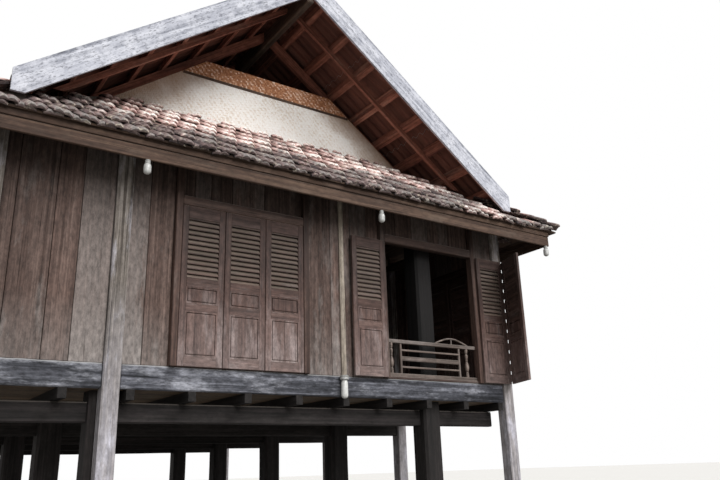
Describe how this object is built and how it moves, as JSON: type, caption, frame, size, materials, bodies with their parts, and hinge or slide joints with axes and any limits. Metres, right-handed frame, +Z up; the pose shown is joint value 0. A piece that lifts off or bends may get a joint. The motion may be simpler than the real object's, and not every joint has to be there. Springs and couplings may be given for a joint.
{
  "type": "timber stilt house",
  "caption": "Timber house on stilts: plank walls, louvred shutters and a turned balustrade above an open ground floor, under a hip-and-gable roof with tiled skirts.",
  "frame": {"origin": "on the ground at the middle of the plan", "axes": "+X to the right along the front gable wall, +Y from the front wall into the house, +Z up"},
  "size_m": [8.1, 10.38, 7.7105],
  "materials": {
    "core_wood": "dark weathered hardwood columns, hewn square",
    "post_wood": "silver-grey weathered hardwood posts",
    "under_wood": "dark dusty timber under the floor",
    "floor_wood": "worn floor boards",
    "rim_wood": "silver-grey weathered beams with checks along the grain",
    "wall_wood": "brown upright wall boards with grey weathering",
    "window_wood": "dark brown window frames",
    "shutter_wood": "reddish brown shutter wood, dusty on the louvres",
    "rail_wood": "turned and planed hardwood, rubbed pale",
    "batten_wood": "pale cover battens",
    "frame_timber": "dark timber of plates, ties and posts",
    "roof_timber": "rust-brown rafters, purlins and ridge",
    "roof_sheet": "pale grey weathered fibre cement sheets",
    "barge_wood": "grey weathered barge boards",
    "roof_tile": "small fired clay tiles, red-brown with grey lichen",
    "fascia_wood": "red-brown stepped eaves boards",
    "gable_mat": "woven bamboo mat, straw coloured",
    "lamp_white": "white lamp holders and bulbs"
  },
  "bodies": {
    "root": {"core_columns": "core_wood", "wall_posts": "post_wood", "cross_beams": "under_wood", "floor_joists": "under_wood", "floor_boards": "floor_wood", "front_rim_beam": "rim_wood", "back_rim_beam": "rim_wood", "side_rim_beams": "rim_wood", "front_wall_boards": "wall_wood", "front_wall_over_windows": "wall_wood", "back_wall_boards": "wall_wood", "back_wall_over_windows": "wall_wood", "left_wall_boards": "wall_wood", "right_wall_boards": "wall_wood", "side_walls_over_windows": "wall_wood", "window_jambs": "window_wood", "window_heads": "window_wood", "window_sills": "window_wood", "front_closed_shutters": "shutter_wood", "front_open_shutters": "shutter_wood", "back_shutters": "shutter_wood", "side_shutters": "shutter_wood", "window_balustrade": "rail_wood", "wall_battens": "batten_wood", "side_wall_plates": "frame_timber", "end_wall_plates": "frame_timber", "core_plates": "frame_timber", "tie_beams": "frame_timber", "king_posts": "frame_timber", "ridge_beam": "roof_timber", "main_rafters": "roof_timber", "main_purlins": "roof_timber", "skirt_rafters": "roof_timber", "gable_studs": "roof_timber", "gable_rails": "roof_timber", "left_main_roof": "roof_sheet", "right_main_roof": "roof_sheet", "ridge_cap": "roof_sheet", "barge_boards": "barge_wood", "front_skirt_roof": "roof_tile", "back_skirt_roof": "roof_tile", "left_skirt_roof": "roof_tile", "right_skirt_roof": "roof_tile", "fascia_boards": "fascia_wood", "gable_mats": "gable_mat", "lamps": "lamp_white"}
  },
  "joints": []
}
